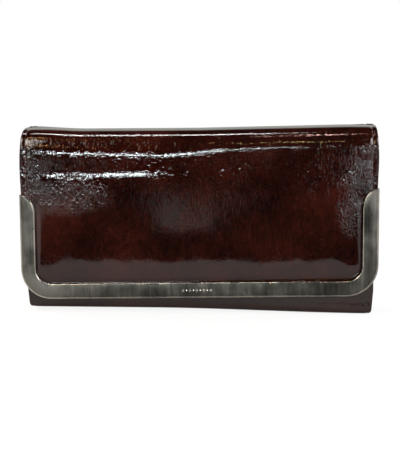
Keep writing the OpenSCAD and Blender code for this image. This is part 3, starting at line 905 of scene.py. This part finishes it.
def build_frame():
    """A band that is rounded at its outer edge and has a raised rim at its inner one."""
    face, rear = FRAME_FACE, FRONT_FACE + 0.35
    rows = []
    for x, z, ix, iz, w in frame_outer():
        k = min(1.0, w / 3.0)
        r, bulge, inner, lip = 1.9 * k, 0.30 * k, w - 0.85 * k, min(0.7, w * 0.6)
        section = [(0.0, FRAME_BACK), (0.0, (FRAME_BACK + face) / 2 + 0.6), (0.0, face + r * 0.62)]
        section += [(r - r * math.cos(a), face + r * 0.62 * (1 - math.sin(a)) + bulge * 0.3)
                    for a in np.radians([20, 40, 60, 78])]
        section += [(r + (inner - r) * t, face + bulge * (0.3 - math.sin(math.pi * (0.1 + 0.75 * t))))
                    for t in (0.0, 0.15, 0.35, 0.55, 0.75, 0.9, 1.0)]
        section += [(w - a * k, face + b * k)
                    for a, b in ((0.72, 0.16), (0.60, -0.10), (0.38, -0.24), (0.14, -0.16))]
        section += [(w, face + 0.08), (w, rear), (lip, rear), (lip, FRAME_BACK)]
        rows.append([(x + ix * q, y, z + iz * q) for q, y in section])
    obj = loft("metal_frame", rows, METAL, 42, skew)
    obj.data.materials.append(METAL_RIM_PAINTED_HIGHLIGHT)
    nr, nc = len(rows), len(rows[0])
    # The outer edge's side and rounding and the raised inner rim take the lighter metal: a painted highlight
    # along both edges of the band.
    for i, poly in enumerate(obj.data.polygons):
        column = i % nc if i < (nr - 1) * nc else 0
        if column <= 4 or nc - 9 <= column <= nc - 4:
            poly.material_index = 1
    return obj


def build_motif():
    """A row of small raised lozenges on the lower bar, a plain ornament."""
    z, spacing = FRAME_Z0 + BAND / 2, 1.9
    verts, faces = [], []
    for i in range(-4, 5):
        w, h = (1.0, 1.15) if i % 2 == 0 else (0.55, 0.65)
        faces += ring_faces(3, 4, len(verts), first_cap=False)
        for k, y in ((1.0, 0.30), (0.92, -0.27), (0.35, -0.42)):
            verts += [(i * spacing + dx * k, FRAME_FACE + y, z + dz * k)
                      for dx, dz in ((-w, 0), (0, -h), (w, 0), (0, h))]
    # The lozenges take the lighter metal, a painted highlight.
    return make("frame_motif", skew(verts), faces, METAL_RIM_PAINTED_HIGHLIGHT, sharp=10)


def build_back_plate():
    """A U-shaped plate with softened edges, between two distances in from the frame's outer edge."""
    y0, y1 = (k[1] for k in span("frame_back_plate"))
    near, far, soft = 1.7, 7.6, 0.12
    section = [(near, y0), (near, y1 - soft), (near + soft, y1), (far - soft, y1), (far, y1 - soft),
               (far, y0)]
    rows = [[(x + ix * q, y, z + iz * q) for q, y in section] for x, z, ix, iz, w in frame_outer()
            if z <= ARM_Z - 7 or abs(x) <= FRAME_W - 1]
    return loft("frame_plate", rows, NICKEL_DARK, 40, skew)


def rivet_places():
    """Middles (x, z) of the CAD rivets, found from their mesh."""
    points = np.array([v.co for v in frame["nodes"]["frame_rivets"].data.vertices])[:, [0, 2]] / MM
    spots = []
    for p in points:
        if not any(np.all(abs(p - q) < 3) for q in spots):
            spots.append(p)
    groups = [points[np.all(abs(points - q) < 4, axis=1)] for q in spots]
    return [(g.min(0) + g.max(0)) / 2 for g in groups]


fit(build_frame(), "flap", ["flap_frame"])
fit(build_motif(), "flap", [])
fit(build_back_plate(), "flap", ["frame_back_plate"])
plate_y = span("frame_back_plate")[1][1]
rivet_profile = [(1.7, -0.05), (1.68, 0.08), (1.5, 0.24), (1.15, 0.35), (0.6, 0.4), (0.1, 0.41)]
heads = []
for x, z in rivet_places():
    q = skew((x, 0, z))
    heads.append(lathe("rivet", rivet_profile, (q[0], plate_y, q[2]), NICKEL_DARK, n=24, direction=1))
fit(join("rivet_heads", heads), "flap", ["frame_rivets"])

# ---------- magnetic snap
SNAP_X, _, SNAP_Z = sum(span("snap_stud")) / 2
stud_profile = [(7.0, -0.1), (7.0, 0.25), (6.8, 0.5), (6.45, 0.62), (5.6, 0.5), (4.6, 0.46), (3.6, 0.56),
                (2.4, 0.62), (2.05, 0.74), (1.98, 1.2), (1.8, 1.4), (1.3, 1.45), (0.1, 1.45)]
stud = lathe("snap_stud_disc", stud_profile, (SNAP_X, FRONT_FACE + LAMINATE, SNAP_Z), NICKEL, direction=1)
fit(stud, "flap", ["snap_stud", "snap_stud_washer"])
cap_profile = [(7.25, -0.1), (7.25, 0.3), (7.05, 0.56), (6.6, 0.70), (5.4, 0.64), (3.4, 0.66),
               (2.75, 0.74), (2.42, 0.68), (2.3, 0.5), (2.3, 0.0), (2.3, -0.1)]
cap = lathe("snap_socket_ring", cap_profile, (SNAP_X, PANEL_FACE, SNAP_Z), NICKEL)
fit(cap, "front_panel", ["snap_socket_cap", "snap_magnet", "snap_socket_washer"])

# ---------- card tiers
tiers = [span(f"card_tier_{k + 1}") for k in range(4)]
for k, (lo, hi) in enumerate(tiers):
    path = upright(lo[1], lo[2], hi[2])
    top = path.s[-1]

    def tier_lift(x, y, z, s):
        """A fold below the top edge and a dip along the middle seam."""
        return -0.10 * hump(top - s, 2.3, 0.45) - 0.18 * hump(x, 0, 0.7) + 0.05 * perlin(x, s, 12.0, 4.0 + k)

    piece = pillow(f"card_slot_{k + 1}", path, path_rows(top, 1.6, 0.3, 0.3, dense=[(top - 4, top)]),
                   near_edge(hi[0], 0.3, 1.5), 0.0, lo[1] - hi[1], LINED_FINE, lift=tier_lift,
                   flat_shift=1800 + 120 * k)
    fit(piece, "back", [f"card_tier_{k + 1}"])
places = []
for k, (lo, hi) in enumerate(tiers):
    low = tiers[k + 1][1][2] + 0.6 if k < 3 else lo[2] + 4
    places += line_of_stitches((0, lo[1] + 0.14, low), (0, lo[1] + 0.14, hi[2] - 0.8), (0, -1, 0))
fit(stitch_mesh("card_stitches", places), "back", ["card_stitching"])


# ---------- gussets
def gusset_line(inner_x, outer_x, y_fixed, y_moving):
    """The gusset's middle line, seen from above: a smooth curve through the points of a V."""
    apex_y = (y_fixed + y_moving) / 2
    k = 1 if y_fixed > y_moving else -1
    a, b = y_fixed - 0.42 * k, y_moving + 0.42 * k
    pts = np.array([
        (outer_x - 4.4, a), (outer_x - 2.2, a), (outer_x - 0.9, a - 0.12 * k), (outer_x - 0.45, a - 0.5 * k),
        (outer_x - 0.9, a - 1.0 * k), (outer_x - 3.0, apex_y + 0.9 * k), (inner_x + 1.2, apex_y + 0.35 * k),
        (inner_x + 0.55, apex_y), (inner_x + 1.2, apex_y - 0.35 * k), (outer_x - 3.4, apex_y - 0.9 * k),
        (outer_x - 1.6, b + 0.9 * k), (outer_x - 1.3, b + 0.45 * k), (outer_x - 1.7, b + 0.1 * k),
        (outer_x - 2.8, b), (outer_x - 4.6, b)])
    ends = np.vstack([pts[:1], pts, pts[-1:]])
    line = [0.5 * (2 * p1 + (p2 - p0) * t + (2 * p0 - 5 * p1 + 4 * p2 - p3) * t ** 2
                   + (3 * p1 - p0 - 3 * p2 + p3) * t ** 3)
            for p0, p1, p2, p3 in zip(ends, ends[1:], ends[2:], ends[3:]) for t in (0, 0.25, 0.5, 0.75)]
    return np.array(line + [pts[-1]])


def gusset(cad_node, y_fixed, y_moving, sign, start_y, end_y, shift):
    """A V of leather between two panels: a folded strip from bottom to top."""
    lo, hi = span(cad_node)
    inner_x, outer_x = sorted((abs(lo[0]), abs(hi[0])))
    line = gusset_line(inner_x, outer_x, y_fixed, y_moving)
    tangent = np.gradient(line, axis=0)
    tangent /= np.linalg.norm(tangent, axis=1)[:, None]
    normal = np.stack([-tangent[:, 1], tangent[:, 0]], -1)
    normal[[0, -1]] = 0
    half, edge = 0.36, 0.35
    zs = path_rows(hi[2] - lo[2], 2.5, edge, edge) + lo[2]
    sides = []
    for s in (1, -1):
        for z, share in zip(zs, edge_round(np.minimum(zs - zs[0], zs[-1] - zs), edge)):
            taper = min(0.0, (z - 12) * 1.7 / 12)
            crush = 0.25 * math.sin(z / 9.0) * smooth((z - lo[2]) / 10)
            x, y = (line + normal * s * half * share).T
            x = x + taper + crush * hump(x, inner_x + 1, 2.5)
            sides.append(np.stack([sign * x, y, np.full(len(x), z)], -1))
    shape = len(zs), len(line)
    front = np.arange(len(zs) * len(line)).reshape(shape)
    back = front + front.size
    back[:, 0], back[:, -1], back[0], back[-1] = front[:, 0], front[:, -1], front[0], front[-1]
    along = np.concatenate([[0], np.cumsum(np.hypot(*np.diff(line, axis=0).T))])
    flat = np.stack([np.broadcast_to(k, shape) for k in (along, zs[:, None], shift)], -1)
    obj = make(cad_node + "_fold", sag(np.concatenate(sides)), quads(front) + quads(back, True), LINED,
               np.tile(flat.reshape(-1, 3), (2, 1)))
    outward(obj)
    m(0, start_y, 40)
    m(0, end_y, 40)
    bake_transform(obj)
    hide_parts(cad_node)


reach = COIN_FRONT - (PANEL_BACK + 0.4)
for sign, side_name in ((-1, "left"), (1, "right")):
    gusset(f"gusset_{side_name}_rear", REAR_FACE, COIN_REAR, sign, REAR_FACE - 0.6,
           COIN_REAR + 0.6, 30 * sign)
    gusset(f"gusset_{side_name}_front", COIN_FRONT, PANEL_BACK, sign, COIN_FRONT + reach,
           PANEL_BACK + 0.4, 60 * sign)


# ---------- coin pocket
def wall(name, cad_node, way, shift):
    """A wall of the coin pocket that faces backwards if way is 1, and forwards if it is -1."""
    lo, hi = span(cad_node)
    path = upright(hi[1] if way > 0 else lo[1], lo[2], hi[2])
    top = path.s[-1]

    def wall_lift(x, y, z, s):
        return groove(top - s - 2.5, 0.15, 0.6) + 0.05 * perlin(x, s, 16.0, 6.0)

    piece = pillow(name, path, path_rows(top, 1.8, 0.4, 0.4, dense=[(top - 4.5, top)]),
                   near_edge(hi[0], 0.4, 2.0), 0.0, lo[1] - hi[1], LINED_FINE, side=-way,
                   lift=wall_lift, flat_shift=shift)
    fit(piece, "coin_pocket", [cad_node])


wall("coin_panel_rear", "coin_wall_rear", 1, 2500)
wall("coin_panel_front", "coin_wall_front", -1, 2700)
END_THICK = 1.5
END_PLACE, TAB_PLACE = 2.9, 3.3               # where they lie on the flat leather, in metres
lo, hi = span("coin_ends")
parts = [prism("coin_end", rect(s * (hi[0] - END_THICK), lo[1], s * hi[0], hi[1])[::s], lo[2], hi[2],
               LINED_FINE, 0.3) for s in (-1, 1)]
lo, hi = span("coin_floor")
parts.append(prism("coin_floor", rect(lo[0], lo[1], hi[0], hi[1]), lo[2], hi[2], LINED_FINE, 0.2))
for part in parts:
    set_flat(part.data, np.array([v.co for v in part.data.vertices])[:, [0, 2, 1]] + END_PLACE)
fit(join("coin_pocket_ends", parts, 0.9), "coin_pocket", ["coin_ends", "coin_floor"])
lo, hi = span("coin_stitching")
places = []
for y, out in ((COIN_REAR - 0.17, 1), (COIN_FRONT + 0.17, -1)):
    z = (lo[2] + hi[2]) / 2
    places += line_of_stitches((lo[0], y, z), (hi[0], y, z), (0, out, 0))
fit(stitch_mesh("coin_stitches", places), "coin_pocket", ["coin_stitching"])

# ---------- zip
ZIP_LO, ZIP_HI = span("zip_teeth_rear")
TOOTH_Z = (ZIP_LO[2] + ZIP_HI[2]) / 2
TAPE_LO, TAPE_HI = span("zip_tape_rear")
TOOTH_PITCH = 2.2


def zip_tape(name, cad_node, side):
    """A tape with its upper edge turned towards the teeth; side is 1 at the rear and -1 at the front."""
    section = [(0, 0), (0, 2.45), (0.18, 2.82), (0.55, 3.0), (1.2, 3.0), (1.2, 2.5), (0.68, 2.46),
               (0.5, 2.3), (0.5, 0)]
    rows = []
    for x in np.linspace(TAPE_LO[0], TAPE_HI[0], 60):
        wave = 0.032 * math.sin(x * 0.21 + side)
        rows.append([(x, COIN_Y + side * (TAPE_HI[1] - COIN_Y - q), TAPE_LO[2] + h + (wave if h > 2 else 0))
                     for q, h in section])
    fit(loft(name, rows, TAPE, 60), "coin_pocket", [cad_node])


def zip_teeth(name, cad_node, side):
    lo, hi = span(cad_node)
    count = int(round((hi[0] - lo[0] - 1.0) / TOOTH_PITCH)) + 1
    half = [(2.2, -0.35), (2.45, -0.62), (2.9, -0.88), (3.35, -0.88), (3.5, -0.7)]
    section = half + [(q, -h) for q, h in half[::-1]]
    middle = 2.85
    verts, faces = [], []
    for i in range(count):
        x = lo[0] + 0.5 + i * TOOTH_PITCH
        faces += ring_faces(4, len(section), len(verts))
        for dx, size in ((-0.5, 0.82), (-0.36, 1.0), (0.36, 1.0), (0.5, 0.82)):
            verts += [(x + dx, COIN_Y + side * (middle + (q - middle) * size), TOOTH_Z + h * size)
                      for q, h in section]
    obj = make(name, verts, [f[::-side] for f in faces], NICKEL_DARK, sharp=45)
    fit(obj, "coin_pocket", [cad_node])


zip_tape("zip_tape_rear_weave", "zip_tape_rear", 1)
zip_tape("zip_tape_front_weave", "zip_tape_front", -1)
zip_teeth("zip_teeth_rear_row", "zip_teeth_rear", 1)
zip_teeth("zip_teeth_front_row", "zip_teeth_front", -1)
lo, hi = span("zip_stops")
stops = [prism("stop", rect(x - 0.7, lo[1], x + 0.7, hi[1]), lo[2], hi[2], NICKEL_DARK, 0.28)
         for x in (lo[0] + 0.7, hi[0] - 0.7)]
fit(join("zip_stop_bars", stops, 0.7), "coin_pocket", ["zip_stops"])

lo, hi = span("zip_slider")
SLIDER_X = (lo[0] + hi[0]) / 2
half_l, half_w = (hi - lo)[:2] / 2
nose = half_w * 0.75
plan = [(half_l - nose + nose * math.cos(a), half_w * math.sin(a))
        for a in np.radians(np.linspace(-90, 90, 13))]
plan += [(-half_l + x, half_w * y)
         for x, y in ((1.2, 0.82), (0.3, 0.62), (0, 0.3), (0, -0.3), (0.3, -0.62), (1.2, -0.82))]
plate_z = TOOTH_Z + 2.0
slider_parts = [prism(name, outline, z0, z1, NICKEL, bevel, origin=(SLIDER_X, COIN_Y, 0))
                for name, outline, z0, z1, bevel in (
                    ("top", plan, plate_z - 0.9, plate_z, 0.22),
                    ("low", plan, TOOTH_Z - 2.0, TOOTH_Z - 1.1, 0.22),
                    ("post", rect(-2.5, -1.7, 2.5, 1.7), TOOTH_Z - 1.15, TOOTH_Z + 1.15, 0.3))]
foot_z, crown_z = plate_z - 0.25, hi[2] - 0.35
crown = [(SLIDER_X - 2.6 * math.cos(a), COIN_Y, foot_z + (crown_z - foot_z) * math.sin(a) ** 0.55)
         for a in np.linspace(0, 1, 19) * math.pi]
slider_parts.append(tube("crown", crown, 0.55, NICKEL, n=12))
fit(join("zip_slider_body", slider_parts, 0.8), "slider", ["zip_slider"])

lo, hi = span("zip_pull_link")
ring_w, ring_l = (hi[1] - lo[1]) / 2 - 0.4, hi[0] - SLIDER_X
ring_x, ring_z = SLIDER_X + ring_l / 2 - 0.2, (lo[2] + hi[2]) / 2
ring = []
for t in np.linspace(0, 2 * math.pi, 40, endpoint=False):
    c, s = (np.sign(k) * abs(k) ** 0.45 for k in (math.cos(t), math.sin(t)))
    ring.append((ring_x + (ring_l / 2 + 0.2) * c, COIN_Y + ring_w * s, ring_z))
fit(tube("zip_pull_ring", ring, 0.45, NICKEL, closed=True), "pull", ["zip_pull_link"])

lo, hi = span("zip_pull_tab")
tab_w, tab_r = (hi[1] - lo[1]) / 2, 2.4
edge = [(lo[0] - 1.2, tab_w * 0.62), (lo[0] + 0.4, tab_w * 0.8), (hi[0] - tab_r, tab_w)]
tip = [(hi[0] - tab_r + tab_r * math.cos(a), tab_w * math.sin(a))
       for a in np.radians(np.linspace(-80, 80, 9))]
outline = [(x, -y) for x, y in edge] + tip + edge[::-1]
pull_tab = prism("zip_pull_leather", outline, lo[2] + 0.05, hi[2] - 0.05, LEATHER, 0.4, 4,
                 origin=(0, COIN_Y, 0))
set_flat(pull_tab.data, np.array([v.co for v in pull_tab.data.vertices]) + TAB_PLACE)
fit(pull_tab, "pull", ["zip_pull_tab"])
places = [((x, COIN_Y + s * (tab_w - 0.75), hi[2] - 0.06), (1, 0, 0), (0, 0, 1))
          for s in (-1, 1) for x in np.arange(lo[0] + 1.6, hi[0] - 1.2, 1.7)]
fit(stitch_mesh("zip_pull_stitches", places, 1.2, 0.3, 0.2), "pull", [])


# ---------- stage, lights and camera
def stage_floor():
    """A pale floor that the camera sees as nearly white and that reflections see only in parts."""
    bpy.ops.mesh.primitive_plane_add(size=60.0, location=(0, 0, -DROOP * MM))
    floor = bpy.context.object
    floor.name = "floor"
    material, tree, _ = new_material("floor_pale", {"Base Color": (0.86, 0.86, 0.86, 1), "Roughness": 0.9,
                                                    "Specular IOR Level": 0.0})
    pale = Wire(tree, tree.nodes["Principled BSDF"].outputs[0])
    glow = node(tree, "Emission", {"Color": (1, 1, 1, 1), "Strength": 1.0})
    dark = node(tree, "BsdfDiffuse", {"Color": (0.02, 0.02, 0.02, 1)})
    glossy, seen_directly = (node(tree, "LightPath", output=k) for k in ("Is Glossy Ray", "Is Camera Ray"))
    v = object_coords(tree)
    x, y, _ = v.axes()
    off = abs(y)
    left = (x + off * 0.30).mapped(-0.135, -0.122)
    right = (x - off * 0.12).mapped(0.136, 0.146, 1.0, 0.0)
    ahead = y.mapped(-0.196, -0.192, 1.0, 0.0) * (left * right)
    behind = y.mapped(0.130, 0.150)
    grey = (x + off * 0.128).mapped(-0.022, -0.016) * (x + off * 0.058).mapped(0.016, 0.024, 1.0, 0.0)
    grey = grey * y.mapped(-0.50, -0.44, 0.34, 0.0)
    hidden = glossy * (ahead + behind) * (1.0 - grey)
    hidden = hidden.math("MAXIMUM", hidden, glossy * 0.44)
    seen = node(tree, "MixShader", {0: hidden, 1: pale, 2: dark})
    reach = node(tree, "VectorMath", {0: v}, "Value", operation="LENGTH")
    lit = seen_directly * reach.mapped(0.15, 0.8, 0.88, 1.0)
    node(tree, "MixShader", {0: lit, 1: seen, 2: glow}).to(tree.nodes["Material Output"].inputs["Surface"])
    floor.data.materials.append(material)


def world():
    """White to the camera; reflections see a glow behind the wallet that is brighter higher up."""
    w = bpy.data.worlds.new("studio")
    bpy.context.scene.world = w
    w.use_nodes = True
    tree = w.node_tree
    studio = tree.nodes["Background"]
    studio.inputs["Color"].default_value = (0.97, 1.0, 0.93, 1)
    _, y, z = node(tree, "TexCoord", output="Generated").axes()
    low = y.mapped(0.36, 0.46) * z.mapped(0.80, 0.87, 1.0, 0.0)
    (low * z.mapped(0.10, 0.80, 0.24, 2.1) + 0.02).to(studio.inputs["Strength"])
    white = node(tree, "Background", {"Color": (1, 1, 1, 1), "Strength": 1.0})
    seen_directly = node(tree, "LightPath", output="Is Camera Ray")
    mix = node(tree, "MixShader", {0: seen_directly, 1: Wire(tree, studio.outputs[0]), 2: white})
    mix.to(tree.nodes["World Output"].inputs["Surface"])


def area(name, place, aim, size, power, colour=(1, 1, 1)):
    light = bpy.data.lights.new(name, "AREA")
    light.shape = "RECTANGLE"
    light.size, light.size_y = size
    light.energy = power
    light.color = colour
    obj = bpy.data.objects.new(name, light)
    obj.location = place
    obj.rotation_euler = (Vector(aim) - Vector(place)).to_track_quat("-Z", "Y").to_euler()
    bpy.context.collection.objects.link(obj)


def camera():
    yaw, pitch, roll = (math.radians(a) for a in (5.26, -6.09, 0.38))
    distance, target = 0.547, Vector((0.0006, 0.0, 0.0416))
    turn = Matrix.Rotation(yaw, 3, "Z") @ Matrix.Rotation(pitch, 3, "X") @ Matrix.Rotation(roll, 3, "Y")
    right, forward, up = (turn @ Vector(v) for v in ((1, 0, 0), (0, 1, 0), (0, 0, 1)))
    cam = bpy.data.objects.new("camera", bpy.data.cameras.new("camera"))
    bpy.context.collection.objects.link(cam)
    place = target - forward * distance
    cam.matrix_world = Matrix([(*k, 0) for k in (right, up, -forward)] + [(*place, 1)]).transposed()
    cam.data.sensor_width = 36
    cam.data.lens = 980 / 464 * 36
    bpy.context.scene.camera = cam


stage_floor()
world()
camera()
area("strip_top", (-0.136, -0.18, 0.78), (-0.136, 0, 0.09), (0.30, 0.026), 1.6)
area("strip_front", (-0.265, -1.50, 0.36), (0, 0, 0.08), (0.43, 0.024), 4.6, (0.86, 0.97, 1.0))
area("side_left", (-1.25, 0.35, 0.95), (0, 0, 0), (0.8, 0.6), 12)
area("side_right", (1.25, 0.35, 0.95), (0, 0, 0), (0.8, 0.6), 12)
area("card_left", (-0.56, -0.80, 0.065), (0, 0, 0.06), (0.46, 0.12), 0.30)
area("card_left_high", (-0.60, -0.70, 0.62), (0, 0, 0.06), (0.36, 0.30), 6.0, (1.0, 0.90, 0.82))
area("card_right", (0.52, -1.02, 0.14), (0, 0, 0.06), (0.52, 0.26), 1.4, (0.93, 0.96, 1.0))
area("card_right_high", (0.72, -0.72, 0.60), (0, 0, 0.06), (0.42, 0.36), 6.4)
area("warm_high", (-0.355, -0.55, 0.76), (-0.09, 0, 0.09), (0.04, 0.05), 0.22, (1.0, 0.48, 0.17))
area("warm_low", (-0.415, -0.92, 0.52), (-0.08, 0, 0.09), (0.045, 0.035), 0.28, (1.0, 0.56, 0.24))
area("pink_line", (0.088, -0.40, 0.78), (0.06, 0, 0.09), (0.044, 0.018), 0.34, (1.0, 0.60, 0.54))
area("yellow_line", (0.070, -0.72, 0.52), (0.06, 0, 0.09), (0.018, 0.012), 0.15, (1.0, 0.86, 0.36))
bpy.context.scene.view_settings.view_transform = "Standard"
